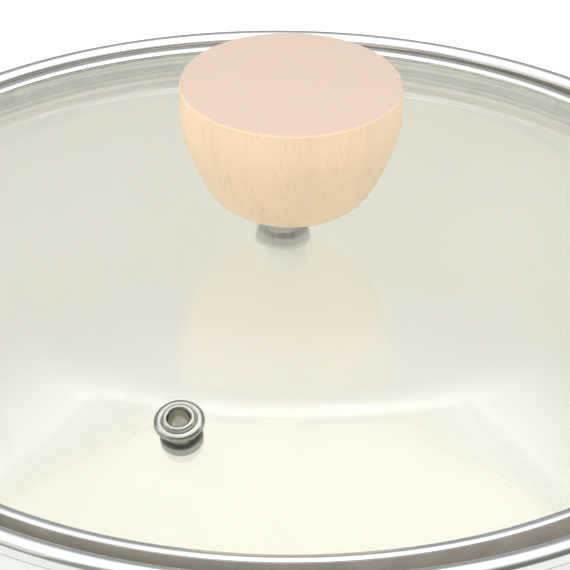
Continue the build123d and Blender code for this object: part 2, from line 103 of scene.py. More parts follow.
class PanSizes(PropertyGroup):
    seat_radius: length("Seat radius", 0.1001, "Recess that the lid drops into")
    ledge_width: length("Ledge width", 0.0035, "Ledge under the flange of the lid")
    seat_depth: length("Seat depth", 0.00635, "Ledge below the top of the rim")
    wall_taper: length("Wall taper", 0.0041, "How far the inside leans in towards the floor")
    wall: length("Wall", 0.0032, "Thickness of the wall")
    floor: length("Floor", 0.0034, "Thickness of the floor")
    floor_corner: length("Floor corner", 0.027, "Round between wall and floor, inside")
    shoulder_top: length("Shoulder top", 0.0075, "Straight part of the rim")
    shoulder_height: length("Shoulder height", 0.014, "Curve from the rim to the wall")
    band_sheet: length("Band thickness", 0.0005, "Steel of the rim band")
    band_leg: length("Band leg", 0.00345, "Outside of the band below the top of the rim")


class LidSizes(PropertyGroup):
    glass: length("Glass", 0.0036, "Thickness of the glass")
    rise: length("Rise", 0.0115, "Flat middle of the glass above the lip of the ring")
    slope_width: length("Slope width", 0.0393, "From the flat middle out to the lip")
    bend: length("Bend", 0.0353, "Radius between the flat middle and the slope")
    lip_width: length("Lip width", 0.0026, "Lip of the ring over the glass")
    lip_height: length("Lip height", 0.0009, "Crown of the lip")
    flange: length("Flange", 0.0011, "Flange outside the glass channel")
    flange_thickness: length("Flange thickness", 0.0007, "Folded steel of the flange")
    skirt: length("Skirt", 0.00115, "Skirt below the flange")
    skirt_inset: length("Skirt inset", 0.0035, "Skirt inside the edge of the flange")
    sheet: length("Ring steel", 0.0005, "Thickness of the ring's steel")


class KnobSizes(PropertyGroup):
    base_radius: length("Base radius", 0.0066, "Foot of the knob on its collar")
    edge_round: length("Edge round", 0.0005, "Round between side and top")


class HandleSizes(PropertyGroup):
    rise_angle: FloatProperty(name="Rise", description="Handle above level", default=math.radians(12),
                              subtype="ANGLE")
    drop: length("Drop", 0.03405, "Handle's axis at the wall, below the top of the rim")
    stem_radius: length("Stem radius", 0.0085, "Stem of the bracket")
    ferrule_start: length("Ferrule start", 0.014, "Start of the ferrule from the wall")
    ferrule_wall: length("Ferrule wall", 0.0021, "Ferrule over the stem")
    grip_start: length("Grip start", 0.036, "Shoulder of the grip from the wall")
    grip_radius: length("Grip radius", 0.0132, "Grip at the ferrule")
    grip_length: length("Grip length", 0.130, "Length of the grip")
    grip_width: length("Grip half width", 0.0157, "Widest part of the grip")
    grip_height: length("Grip half height", 0.0119, "Thickest part of the grip")
    end_width: length("End half width", 0.0134, "End of the grip")
    end_height: length("End half height", 0.0104, "End of the grip")


class Finishes(PropertyGroup):
    coating: colour("Coating inside", (0.93, 0.91, 0.845), "Cream coating inside the pan")
    coating_outside: colour("Coating outside", (0.77, 0.76, 0.735), "Off-white coating outside")
    steel: colour("Polished steel", (0.80, 0.785, 0.755), "Ring, rim band and vent")
    satin: colour("Satin steel", (0.66, 0.655, 0.64), "Handle fittings and base")
    wood: colour("Beech", (0.85, 0.645, 0.41), "Knob and grip")
    # End grain of the knob's top: partly the wood's own darker end grain, partly painted shade that holds the
    # lit top down to the brightness of the side.
    end_grain_and_top_shade: colour("End grain", (0.61, 0.475, 0.375), "Flat top of the knob")
    wood_dark: colour("Beech flecks", (0.60, 0.40, 0.235), "Rays and pores of the wood")
    glass: colour("Glass", (0.985, 0.997, 0.988), "Tint of the glass")
    silicone: colour("Silicone", (0.62, 0.61, 0.57), "Gaskets and seal")


class StageSettings(PropertyGroup):
    elevation: FloatProperty(name="Elevation", description="Camera above the horizon", subtype="ANGLE",
                             default=math.radians(31.4))
    roll: FloatProperty(name="Roll", description="Turn of the picture", subtype="ANGLE",
                        default=math.radians(0.92))
    distance: length("Distance", 0.555, "Camera to the middle of the lid")
    side: length("Side step", 0.00056, "Camera to the side of the lid's axis")
    lens: FloatProperty(name="Lens", description="Focal length in millimetres", default=175.6)
    lid_row: FloatProperty(name="Row of the lid", default=0.0324,
                           description="Middle of the lid above the middle of the picture, as a share of it")
    overhead: FloatProperty(name="Overhead light", description="Power in watts", default=1.4)
    window: FloatProperty(name="Side light", description="Power in watts", default=1.2)
    sky: FloatProperty(name="Fill", description="Strength of the surroundings", default=1.0)


def settings():
    return bpy.context.scene


# --- shader nodes ---------------------------------------------------------------------------------
class Value:
    """A socket that can be used in sums."""

    def __init__(self, shader, socket):
        self.shader = shader
        self.socket = socket

    def math(self, operation, *others):
        return self.shader.node("ShaderNodeMath", {"operation": operation}, [self, *others])

    def __add__(self, other):
        return self.math("ADD", other)

    def __sub__(self, other):
        return self.math("SUBTRACT", other)

    def __mul__(self, other):
        return self.math("MULTIPLY", other)

    def __pow__(self, other):
        return self.math("POWER", other)

    def __rsub__(self, other):
        return self.shader.node("ShaderNodeMath", {"operation": "SUBTRACT"}, [other, self])

    __radd__ = __add__
    __rmul__ = __mul__

    def between(self, start, end):
        """0 below start, 1 above end, smooth between them."""
        return self.shader.node("ShaderNodeMapRange", {"interpolation_type": "SMOOTHSTEP"},
                                {"Value": self, "From Min": start, "From Max": end})


class Shader:
    """A material, or the world, built from Python expressions."""

    def __init__(self, tree):
        self.tree = tree
        tree.nodes.clear()

    def node(self, kind, options=None, inputs=None, output=0):
        """Adds a node: options first, then the values or links of its sockets."""
        made = self.tree.nodes.new(kind)
        for key, value in (options or {}).items():
            setattr(made, key, value)
        pairs = inputs.items() if isinstance(inputs, dict) else enumerate(inputs or [])
        for key, value in pairs:
            if isinstance(value, Value):
                self.tree.links.new(value.socket, made.inputs[key])
            elif value is not None:
                made.inputs[key].default_value = value
        return Value(self, made.outputs[output]) if made.outputs else None

    def place(self):
        return self.node("ShaderNodeTexCoord", output=3)

    def axis(self, vector, index):
        return self.node("ShaderNodeSeparateXYZ", {}, [vector], output=index)

    def moved(self, vector, location=(0, 0, 0), rotation=(0, 0, 0), scale=(1, 1, 1)):
        return self.node("ShaderNodeMapping", {"vector_type": "POINT"},
                         {"Vector": vector, "Location": location, "Rotation": rotation, "Scale": scale})

    def noise(self, vector, scale, detail=2.0, roughness=0.5, distortion=0.0):
        return self.node("ShaderNodeTexNoise", {},
                         {"Vector": vector, "Scale": scale, "Detail": detail, "Roughness": roughness,
                          "Distortion": distortion})

    def mix(self, share, first, second):
        """Mixes two colours."""
        made = self.tree.nodes.new("ShaderNodeMix")
        made.data_type = "RGBA"
        for index, value in ((0, share), (6, first), (7, second)):
            if isinstance(value, Value):
                self.tree.links.new(value.socket, made.inputs[index])
            else:
                made.inputs[index].default_value = rgba(value) if index else value
        return Value(self, made.outputs[2])

    def bump(self, height, strength, distance):
        return self.node("ShaderNodeBump", {}, {"Height": height, "Strength": strength, "Distance": distance})

    def surface(self, **inputs):
        named = {key.replace("_", " "): value for key, value in inputs.items()}
        return self.node("ShaderNodeBsdfPrincipled", {}, named)

    def finish(self, surface):
        self.node("ShaderNodeOutputMaterial", {}, {"Surface": surface})


def rgba(value):
    return (*value, 1.0) if len(value) == 3 else value


def material(name):
    """New node material and its shader builder."""
    made = bpy.data.materials.new(name)
    made.use_nodes = True
    return made, Shader(made.node_tree)


def once(build):
    """Each finish is built once and then shared."""
    made = {}

    def get(*args):
        if args not in made:
            made[args] = build(*args)
        return made[args]
    return get


@once
def coating_inside():
    """Cream coating with a soft gloss and the faintest orange peel."""
    made, sh = material("coating_inside")
    place = sh.place()
    base = settings().finishes.coating
    drift = sh.noise(place, 14.0, 3.0)
    deep = tuple(c * k for c, k in zip(base, (0.975, 0.97, 0.955)))
    tone = sh.mix(drift.between(0.3, 0.7), base[:], deep)
    speck = sh.noise(place, 2600.0, 1.0).between(0.70, 0.78)
    tone = sh.mix(speck * 0.10, tone, (0.62, 0.58, 0.50))
    peel = sh.noise(place, 420.0, 2.0)
    bump = sh.bump(peel, 0.05, 0.0002)
    rough = 0.17 + sh.noise(place, 60.0, 2.0) * 0.06
    sh.finish(sh.surface(Base_Color=tone, Roughness=rough, Normal=bump, IOR=1.5))
    return made


@once
def coating_outside():
    """Off-white coating of the outside, with a few rub marks low down."""
    made, sh = material("coating_outside")
    place = sh.place()
    base = settings().finishes.coating_outside
    drift = sh.noise(place, 11.0, 3.0)
    deep = tuple(c * 0.99 for c in base)
    tone = sh.mix(drift.between(0.3, 0.7), base[:], deep)
    height = sh.axis(place, 2)
    rub = sh.noise(sh.moved(place, scale=(1, 1, 5)), 120.0, 4.0).between(0.62, 0.75)
    foot = 1 - height.between(0.002, 0.012)
    tone = sh.mix(rub * foot * 0.35, tone, (0.55, 0.53, 0.50))
    peel = sh.noise(place, 420.0, 2.0)
    rough = 0.24 + rub * 0.06 + drift * 0.06
    sh.finish(sh.surface(Base_Color=tone, Roughness=rough, Normal=sh.bump(peel, 0.06, 0.0002), IOR=1.5))
    return made


@once
def turned_steel(name, x, y, shine):
    """Steel with fine marks that run round the axis at x, y; shine is its roughness."""
    made, sh = material(name)
    finishes = settings().finishes
    base = finishes.steel if shine < 0.2 else finishes.satin
    local = sh.moved(sh.place(), location=(-x, -y, 0))
    across = sh.axis(local, 0)
    along = sh.axis(local, 1)
    away = (across * across + along * along) ** 0.5
    height = sh.axis(local, 2)
    around = across.math("ARCTAN2", along)
    thread = sh.node("ShaderNodeCombineXYZ", {}, [away * 900.0, height * 900.0, around * 1.2])
    marks = sh.noise(thread, 3.0, 4.0, 0.65)
    cloud = sh.noise(local, 35.0, 2.0)
    dull = tuple(c * 0.93 for c in base)
    tone = sh.mix(cloud.between(0.35, 0.65), base[:], dull)
    rough = shine + (marks - 0.5) * (shine * 0.5) + cloud * 0.02
    bump = sh.bump(marks, 0.01 if shine < 0.2 else 0.12, 0.00005)
    sh.finish(sh.surface(Base_Color=tone, Metallic=1.0, Roughness=rough, Normal=bump))
    return made


@once
def drawn_steel(name, shine):
    """Steel with an even fine grain, for wire, cap and fittings."""
    made, sh = material(name)
    base = settings().finishes.satin
    place = sh.place()
    grain = sh.noise(place, 900.0, 3.0, 0.6)
    cloud = sh.noise(place, 60.0, 2.0)
    tone = sh.mix(cloud.between(0.35, 0.65), base[:], tuple(c * 0.9 for c in base))
    rough = shine + (grain - 0.5) * 0.12
    sh.finish(sh.surface(Base_Color=tone, Metallic=1.0, Roughness=rough,
                         Normal=sh.bump(grain, 0.06, 0.00005)))
    return made


@once
def clear_glass():
    """Clear glass that lets the lamps through to what is under it."""
    made, sh = material("clear_glass")
    tint = rgba(settings().finishes.glass[:])
    smear = sh.noise(sh.place(), 18.0, 3.0).between(0.45, 0.8)
    glass = sh.surface(Base_Color=tint, Roughness=smear * 0.012, Transmission_Weight=1.0, IOR=1.5)
    clear = sh.node("ShaderNodeBsdfTransparent", {}, [(0.985, 0.99, 0.98, 1)])
    thin = sh.node("ShaderNodeMixShader", {}, [0.7, glass, clear])
    lamp_ray = sh.node("ShaderNodeLightPath", output=1)
    sh.finish(sh.node("ShaderNodeMixShader", {}, [lamp_ray, thin, clear]))
    return made


@once
def beech(name, x, y, z, grain_tilt, flat_top=1.0):
    """Pale beech under clear satin lacquer, with its grain along the piece; end grain above flat_top, set
    darker as painted shade so the top, which the lamps light more, looks no brighter than the side.
    """
    made, sh = material(name)
    finishes = settings().finishes
    pale = finishes.wood
    dark = finishes.wood_dark
    local = sh.moved(sh.place(), location=(-x, -y, -z))
    wood = sh.moved(local, rotation=(0, grain_tilt, 0))
    warped = sh.noise(wood, 22.0, 2.0)
    long_grain = sh.moved(wood, scale=(1, 1, 0.06))
    rings = sh.noise(long_grain, 95.0, 3.0, 0.55, 0.6)
    streaks = sh.noise(sh.moved(wood, scale=(1, 1, 0.03)), 420.0, 3.0, 0.6)
    flecks = sh.noise(sh.moved(wood, scale=(1, 0.45, 0.16)), 1500.0, 2.0, 0.5).between(0.62, 0.72)
    cloud = warped.between(0.3, 0.7)
    light = tuple(min(1.0, c * 1.06) for c in pale)
    middle_tone = tuple(p * 0.72 + d * 0.28 for p, d in zip(pale, dark))
    tone = sh.mix(rings.between(0.35, 0.68), light, pale[:])
    tone = sh.mix(streaks.between(0.45, 0.8) * 0.45, tone, middle_tone)
    tone = sh.mix(flecks * 0.34, tone, dark[:])
    tone = sh.mix(cloud * 0.14, tone, (0.86, 0.70, 0.58))
    blotch = sh.noise(local, 130.0, 3.0, 0.6).between(0.35, 0.65)
    pores = sh.noise(local, 1700.0, 1.0).between(0.66, 0.74)
    # Above flat_top the end grain colour takes over: real end grain, darkened further as painted shade for
    # the knob's top.
    end = finishes.end_grain_and_top_shade
    end_grain_with_shade = sh.mix(blotch, end[:], tuple(e * k for e, k in zip(end, (1.04, 0.985, 0.97))))
    end_grain_with_shade = sh.mix(pores * 0.16, end_grain_with_shade, dark[:])
    tone = sh.mix(sh.axis(local, 2).between(flat_top - 0.0002, flat_top), tone, end_grain_with_shade)
    relief = streaks * 0.6 + flecks * -0.4
    rough = 0.36 + streaks * 0.10 + flecks * 0.08
    sh.finish(sh.surface(Base_Color=tone, Roughness=rough, IOR=1.46, Coat_Weight=0.18, Coat_Roughness=0.22,
                         Normal=sh.bump(relief, 0.12, 0.0001)))
    return made


@once
def silicone():
    """Milky grey silicone."""
    made, sh = material("silicone")
    base = settings().finishes.silicone
    cloud = sh.noise(sh.place(), 220.0, 3.0)
    tone = sh.mix(cloud.between(0.3, 0.7), base[:], tuple(c * 0.9 for c in base))
    sh.finish(sh.surface(Base_Color=tone, Roughness=0.45 + cloud * 0.15,
                         Normal=sh.bump(cloud, 0.08, 0.0001)))
    return made


@once
def plain_part(name, red, green, blue, metal, shine):
    """Small fitting with a fine grain and a little colour drift."""
    made, sh = material(name)
    grain = sh.noise(sh.place(), 1200.0, 3.0, 0.6)
    cloud = sh.noise(sh.place(), 150.0, 2.0)
    base = (red, green, blue)
    tone = sh.mix(cloud.between(0.3, 0.7), base, tuple(c * 0.85 for c in base))
    sh.finish(sh.surface(Base_Color=tone, Metallic=metal, Roughness=shine + grain * 0.12,
                         Normal=sh.bump(grain, 0.1, 0.00005)))
    return made


# --- modelling by hand tools ----------------------------------------------------------------------
def clear_selection():
    if bpy.context.object and bpy.context.object.mode != "OBJECT":
        bpy.ops.object.mode_set(mode="OBJECT")
    bpy.ops.object.select_all(action="DESELECT")


def edit(action="SELECT"):
    bpy.ops.object.mode_set(mode="EDIT")
    bpy.ops.mesh.select_all(action=action)


def leave_edit():
    bpy.ops.object.mode_set(mode="OBJECT")


def apply_place():
    bpy.ops.object.transform_apply(location=True, rotation=True, scale=True)


def name_it(name):
    made = bpy.context.object
    made.name = name
    made.data.name = name
    return made


def use(piece):
    clear_selection()
    bpy.context.view_layer.objects.active = piece
    piece.select_set(True)


def arc(centre, radius, start, end, count):
    """Points on an arc in the outline plane, angles in degrees from the outward axis."""
    points = []
    for index in range(count + 1):
        angle = math.radians(start + (end - start) * index / count)
        points.append((centre[0] + radius * math.cos(angle), centre[1] + radius * math.sin(angle)))
    return points


def rounded(corner, before, after, radius, count=6):
    """Points that round an outline's corner between two straight runs."""
    at = Vector(corner)
    back = (Vector(before) - at).normalized()
    on = (Vector(after) - at).normalized()
    half = back.angle(on) / 2
    centre = at + (back + on).normalized() * (radius / math.sin(half))
    reach = radius / math.tan(half)
    first = at + back * reach - centre
    last = at + on * reach - centre
    points = []
    for index in range(count + 1):
        swing = first.slerp(last, index / count)
        points.append(tuple(centre + swing.normalized() * radius))
    return points


def soften(points, radius, count=5):
    """A closed outline with every corner rounded."""
    made = []
    total = len(points)
    for index, corner in enumerate(points):
        made += rounded(corner, points[index - 1], points[(index + 1) % total], radius, count)
    return made


def turn(name, outline, axis, steps=TURN_STEPS, closed=True):
    """Spins an outline of (radius, height) round an upright axis at x, y."""
    clear_selection()
    bpy.ops.mesh.primitive_plane_add(size=MM, location=(axis[0] + outline[0][0], axis[1], outline[0][1]))
    made = name_it(name)
    apply_place()
    edit()
    bpy.ops.mesh.merge(type="CENTER")
    path = list(outline) + ([outline[0]] if closed else [])
    for here, there in zip(path, path[1:]):
        step = (there[0] - here[0], 0, there[1] - here[1])
        bpy.ops.mesh.extrude_vertices_move(TRANSFORM_OT_translate={"value": step})
    bpy.ops.mesh.select_all(action="SELECT")
    bpy.ops.mesh.remove_doubles(threshold=MM * 0.002)
    bpy.ops.mesh.select_all(action="SELECT")
    bpy.ops.mesh.spin(steps=steps, angle=math.tau, center=(axis[0], axis[1], 0), axis=(0, 0, 1))
    close_up()
    return made


def close_up():
    """Merges doubles, faces everything outwards and leaves edit mode with smooth shading."""
    bpy.ops.mesh.select_all(action="SELECT")
    bpy.ops.mesh.remove_doubles(threshold=MM * 0.002)
    bpy.ops.mesh.select_all(action="SELECT")
    bpy.ops.mesh.normals_make_consistent(inside=False)
    leave_edit()
    bpy.ops.object.shade_smooth_by_angle(angle=SMOOTH_ANGLE)


def lofted(name, rings, steps=SMALL_STEPS):
    """Closed skin over ellipses (height, half width, half depth) stacked along Z at the origin."""
    clear_selection()
    height, wide, deep = rings[0]
    bpy.ops.mesh.primitive_circle_add(vertices=steps, radius=1.0, fill_type="NGON", location=(0, 0, height))
    made = name_it(name)
    apply_place()
    edit()
    bpy.ops.transform.resize(value=(wide, deep, 1), center_override=(0, 0, height))
    for (h0, w0, d0), (h1, w1, d1) in zip(rings, rings[1:]):
        bpy.ops.mesh.extrude_region_move(TRANSFORM_OT_translate={"value": (0, 0, h1 - h0)})
        bpy.ops.transform.resize(value=(w1 / w0, d1 / d0, 1), center_override=(0, 0, h1))
    bpy.ops.mesh.select_all(action="SELECT")
    bpy.ops.mesh.normals_make_consistent(inside=False)
    leave_edit()
    bpy.ops.object.shade_smooth_by_angle(angle=SMOOTH_ANGLE)
    return made


def put(piece, matrix):
    """Moves a finished piece to its place and applies it."""
    use(piece)
    piece.matrix_world = matrix
    apply_place()


def cut(piece, tool):
    """Cuts tool out of piece and removes tool."""
    use(piece)
    saw = piece.modifiers.new("cut", "BOOLEAN")
    saw.operation = "DIFFERENCE"
    saw.solver = "EXACT"
    saw.object = tool
    bpy.ops.object.modifier_apply(modifier=saw.name)
    bpy.data.objects.remove(tool, do_unlink=True)
    use(piece)
    bpy.ops.object.shade_smooth_by_angle(angle=SMOOTH_ANGLE)


def dress(piece, *finishes):
    """Gives a piece its materials, one slot each."""
    piece.data.materials.clear()
    for finish in finishes:
        piece.data.materials.append(finish)


def belongs(piece, body, slot, *nodes):
    """Rides piece on its body and hides the nodes that it stands for; slot is not used."""
    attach(piece, body)
    if nodes:
        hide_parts(*nodes)


def repaint(node, finish):
    """Gives a kept node a better finish in its own slots."""
    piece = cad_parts[node]
    for slot in piece.material_slots:
        slot.material = finish


# --- pan ------------------------------------------------------------------------------------------
def pan_radii(sizes):
    """Radii at the mouth and the floor, inside."""
    mouth = sizes.seat_radius - sizes.ledge_width
    return mouth, mouth - sizes.wall_taper


def outer_wall(sizes, grow=0.0):
    """Outline of the outside from the floor's axis up to the rim."""
    mouth, foot = pan_radii(sizes)
    base = (foot + sizes.wall + grow, FLOOR_UNDER - grow)
    start_z = RIM_TOP - sizes.shoulder_top
    top = (mouth + sizes.wall + grow, start_z - sizes.shoulder_height)
    start = (RIM_RADIUS - CLEARANCE + grow, start_z)
    across = start[0] - top[0]
    down = start[1] - top[1]
    bend = (across**2 + down**2) / (4 * across)
    turn_by = math.degrees(math.asin(down / 2 / bend))
    points = [(0.0, base[1])]
    points += rounded(base, points[0], top, sizes.floor_corner + sizes.wall, 20)
    points += arc((top[0] + bend, top[1]), bend, 180, 180 - turn_by, 8)
    points += arc((start[0] - bend, start[1]), bend, -turn_by, 0, 8)[1:]
    return points


def pan_outline(sizes):
    mouth, foot = pan_radii(sizes)
    ledge = RIM_TOP - sizes.seat_depth
    half = (RIM_RADIUS - sizes.seat_radius) / 2
    centre = (RIM_RADIUS - half, RIM_TOP - half)
    core = half - sizes.band_sheet - CLEARANCE
    floor_z = FLOOR_UNDER + sizes.floor
    leg = RIM_TOP - sizes.band_leg - CLEARANCE
    inner_leg = ledge + 0.7 * MM
    points = outer_wall(sizes)
    points += [(RIM_RADIUS - CLEARANCE, leg), (centre[0] + core, leg)]
    points += arc(centre, core, 0, 180, 12)
    points += [(centre[0] - core, inner_leg), (sizes.seat_radius, inner_leg), (sizes.seat_radius, ledge)]
    points += rounded((mouth, ledge), (sizes.seat_radius, ledge), (foot, floor_z), 0.5 * MM, 5)
    points += rounded((foot, floor_z), (mouth, ledge), (0, floor_z), sizes.floor_corner, 20)
    points.append((0.0, floor_z))
    return points


class SAUCEPAN_OT_body(Operator):
    """Coated pan with its lid seat"""
    bl_idname = "saucepan.body"
    bl_label = "Pan body"

    def execute(self, context):
        sizes = context.scene.pan_sizes
        body = turn("pan_body_coated", pan_outline(sizes), (0, 0), closed=False)
        dress(body, coating_outside(), coating_inside())
        mouth, foot = pan_radii(sizes)
        half_wall = sizes.wall / 2
        for face in body.data.polygons:
            across = math.hypot(face.center.x, face.center.y)
            share = (face.center.z - FLOOR_UNDER) / (RIM_TOP - FLOOR_UNDER)
            limit = foot + (mouth - foot) * share + half_wall
            upper = face.center.z > FLOOR_UNDER + sizes.floor * 0.6
            seat = face.center.z > RIM_TOP - sizes.seat_depth - MM and across < sizes.seat_radius + half_wall
            face.material_index = 1 if (upper and across < limit and face.normal.z > -0.2) or seat else 0
        belongs(body, "pan", "pan_coating", "pan_body")
        return {"FINISHED"}


class SAUCEPAN_OT_rim_band(Operator):
    """Polished steel band rolled over the rim"""
    bl_idname = "saucepan.rim_band"
    bl_label = "Rim band"

    def execute(self, context):
        sizes = context.scene.pan_sizes
        half = (RIM_RADIUS - sizes.seat_radius) / 2
        inner = half - sizes.band_sheet
        centre = (RIM_RADIUS - half, RIM_TOP - half)
        foot = low("rim_band").z
        leg = RIM_TOP - sizes.band_leg
        lip = sizes.band_sheet * 0.3
        outline = [(centre[0] + half, leg + lip)]
        outline += arc(centre, half, 0, 180, 40)
        outline += [(centre[0] - half, foot + lip), (centre[0] - half + lip, foot), (centre[0] - inner, foot)]
        outline += arc(centre, inner, 180, 0, 16)
        outline += [(centre[0] + inner, leg), (centre[0] + half - lip, leg)]
        band = turn("rim_band_polished", outline, (0, 0))
        dress(band, turned_steel("rim_steel", 0.0, 0.0, 0.10))
        belongs(band, "pan", "rim_steel", "rim_band")
        return {"FINISHED"}


class SAUCEPAN_OT_base(Operator):
    """Steel base disc with turned grooves"""
    bl_idname = "saucepan.base_disc"
    bl_label = "Base disc"

    grooves: IntProperty(name="Grooves", description="Rings turned in the base", default=4, min=0)

    def execute(self, context):
        edge = radius_of("induction_base")
        top = high("induction_base").z
        deep = 0.3 * MM
        outline = [(0.0, 0.0)]
        for index in range(1, self.grooves + 1):
            at = edge * index / (self.grooves + 1)
            outline += [(at - MM, 0.0), (at - 0.8 * MM, deep), (at + 0.8 * MM, deep), (at + MM, 0.0)]
        outline += arc((edge - 0.5 * MM, 0.5 * MM), 0.5 * MM, -90, 0, 5)
        outline += arc((edge - 0.5 * MM, top - 0.5 * MM), 0.5 * MM, 0, 90, 5)
        outline.append((0.0, top))
        disc = turn("base_disc_turned", outline, (0, 0), closed=False)
        dress(disc, turned_steel("base_steel", 0.0, 0.0, 0.30))
        belongs(disc, "pan", "base_steel", "induction_base")
        return {"FINISHED"}


# --- lid ------------------------------------------------------------------------------------------
def lip_plane(sizes):
    return GLASS_TOP - sizes.rise


def lip_radii(sizes):
    """Outside and inside of the lip."""
    outer = radius_of("lid_rim_ring") - sizes.flange
    return outer, outer - sizes.lip_width


def slope_angle(sizes):
    """Angle of the sloped outer part of the glass."""
    share = 2 * sizes.bend - sizes.rise
    root = math.sqrt(sizes.slope_width**2 - share * sizes.rise)
    return 2 * math.atan((sizes.slope_width - root) / share)


def glass_height(sizes, away, under=0.0):
    """Height of the glass at a distance from its axis; under = below its top face."""
    slope = slope_angle(sizes)
    bend = sizes.bend - under
    centre = GLASS_TOP - sizes.bend
    out = away - (lip_radii(sizes)[1] - sizes.slope_width)
    if out <= 0:
        return GLASS_TOP - under
    if out <= bend * math.sin(slope):
        return centre + math.sqrt(bend**2 - out**2)
    return centre + bend / math.cos(slope) - out * math.tan(slope)


def vent_frame(sizes):
    """Matrix of the vent: on top of the glass, Z square to its slope."""
    at = middle("vent_gasket")
    way = Vector((at.x - LID_AXIS.x, at.y - LID_AXIS.y, 0)).normalized()
    slope = slope_angle(sizes)
    normal = way * math.sin(slope) + Vector((0, 0, math.cos(slope)))
    matrix = normal.to_track_quat("Z", "Y").to_matrix().to_4x4()
    matrix.translation = at - normal * 0.275 * MM
    return matrix


class SAUCEPAN_OT_glass(Operator):
    """Glass disc, flat in the middle and sloped outside, with ground edges and its two holes"""
    bl_idname = "saucepan.glass"
    bl_label = "Lid glass"

    def execute(self, context):
        sizes = context.scene.lid_sizes
        edge = radius_of("lid_glass")
        hole = 3.4 * MM
        bevel = 0.6 * MM
        flat = lip_radii(sizes)[1] - sizes.slope_width
        slope = slope_angle(sizes)
        outline = [(hole, glass_height(sizes, hole, sizes.glass)), (hole, glass_height(sizes, hole))]
        bend = arc((flat, GLASS_TOP - sizes.bend), sizes.bend, 90, 90 - math.degrees(slope), 24)
        outline += bend
        outline.append((edge - 0.3 * MM, glass_height(sizes, edge - 0.3 * MM)))
        outline.append((edge, glass_height(sizes, edge) - 0.3 * MM))
        under_edge = glass_height(sizes, edge - bevel, sizes.glass)
        outline += [(edge, under_edge + bevel / 2), (edge - bevel, under_edge)]
        outline += arc((flat, GLASS_TOP - sizes.bend), sizes.bend - sizes.glass,
                       90 - math.degrees(slope), 90, 24)
        glass = turn("lid_glass_clear", outline, LID_AXIS)
        clear_selection()
        bpy.ops.mesh.primitive_cylinder_add(vertices=64, radius=2.75 * MM, depth=12 * MM)
        drill = bpy.context.object
        put(drill, vent_frame(sizes))
        cut(glass, drill)
        dress(glass, clear_glass())
        belongs(glass, "lid", "lid_glass", "lid_glass")
        return {"FINISHED"}


class SAUCEPAN_OT_rim_ring(Operator):
    """Polished steel ring rolled round the edge of the glass"""
    bl_idname = "saucepan.rim_ring"
    bl_label = "Lid ring"

    def execute(self, context):
        sizes = context.scene.lid_sizes
        lip = lip_plane(sizes)
        outer, inner = lip_radii(sizes)
        edge = radius_of("lid_rim_ring")
        skirt = edge - sizes.skirt_inset
        flange_under = SKIRT_END + sizes.skirt
        flange_top = flange_under + sizes.flange_thickness
        channel = flange_under + sizes.sheet
        curl = inner - 1.0 * MM
        sheet = sizes.sheet
        tip = (inner, glass_height(sizes, inner) + CLEARANCE)
        crown = lip_crown(tip, (outer, lip + sizes.lip_height / 2 - 0.1 * MM), lip + sizes.lip_height)
        outline = list(crown)
        outline += soften_run([(outer, flange_top), (edge, flange_top)], crown[-1], (edge, flange_under),
                              0.25 * MM)
        outline += soften_run([(edge, flange_under), (skirt, flange_under), (skirt, SKIRT_END),
                               (skirt - sheet, SKIRT_END)],
                              (edge, flange_top), (skirt - sheet, flange_under), 0.2 * MM)
        outline += [(skirt - sheet, flange_under), (curl + 0.2 * MM, flange_under)]
        outline += arc((curl + sheet / 2, flange_under + sheet / 2), sheet / 2, 250, 110, 6)
        outline += [(outer - sheet, channel), (outer - sheet, lip)]
        back = lip_crown((inner + 0.25 * MM, tip[1]), (outer - sheet, lip),
                         lip + sizes.lip_height - 0.4 * MM)
        outline += list(reversed(back))[1:]
        ring = turn("lid_ring_polished", outline, LID_AXIS)
        # Second slot: a dull taupe on the ring's outer wall below the lip, painted shade of the narrow gap
        # between the ring and the rim band.
        dress(ring, turned_steel("ring_steel", round(LID_AXIS.x, 5), round(LID_AXIS.y, 5), 0.09),
              plain_part("ring_wall_painted_shade", 0.52, 0.48, 0.41, 0.4, 0.5))
        # Outer wall faces under the lip take the painted-shade slot.
        for face in ring.data.polygons:
            away = math.hypot(face.center.x - LID_AXIS.x, face.center.y - LID_AXIS.y)
            if away > outer - 0.1 * MM and face.center.z < lip + 0.25 * MM:
                face.material_index = 1
        belongs(ring, "lid", "ring_steel", "lid_rim_ring")
        return {"FINISHED"}


def lip_crown(start, end, top):
    """Arc-like crown from start over top to end."""
    points = []
    count = 18
    for index in range(count + 1):
        share = index / count
        base = start[1] + (end[1] - start[1]) * share
        across = start[0] + (end[0] - start[0]) * (1 - math.cos(math.pi * share)) / 2
        swell = 1 - (2 * (across - start[0]) / (end[0] - start[0]) - 1)**2
        points.append((across, base + (top - (start[1] + end[1]) / 2) * max(swell, 0)**0.5))
    return points


def soften_run(corners, before, after, radius):
    """Rounds the corners of an open run between two further points."""
    chain = [before, *corners, after]
    points = []
    for index in range(1, len(chain) - 1):
        points += rounded(chain[index], chain[index - 1], chain[index + 1], radius, 4)
    return points


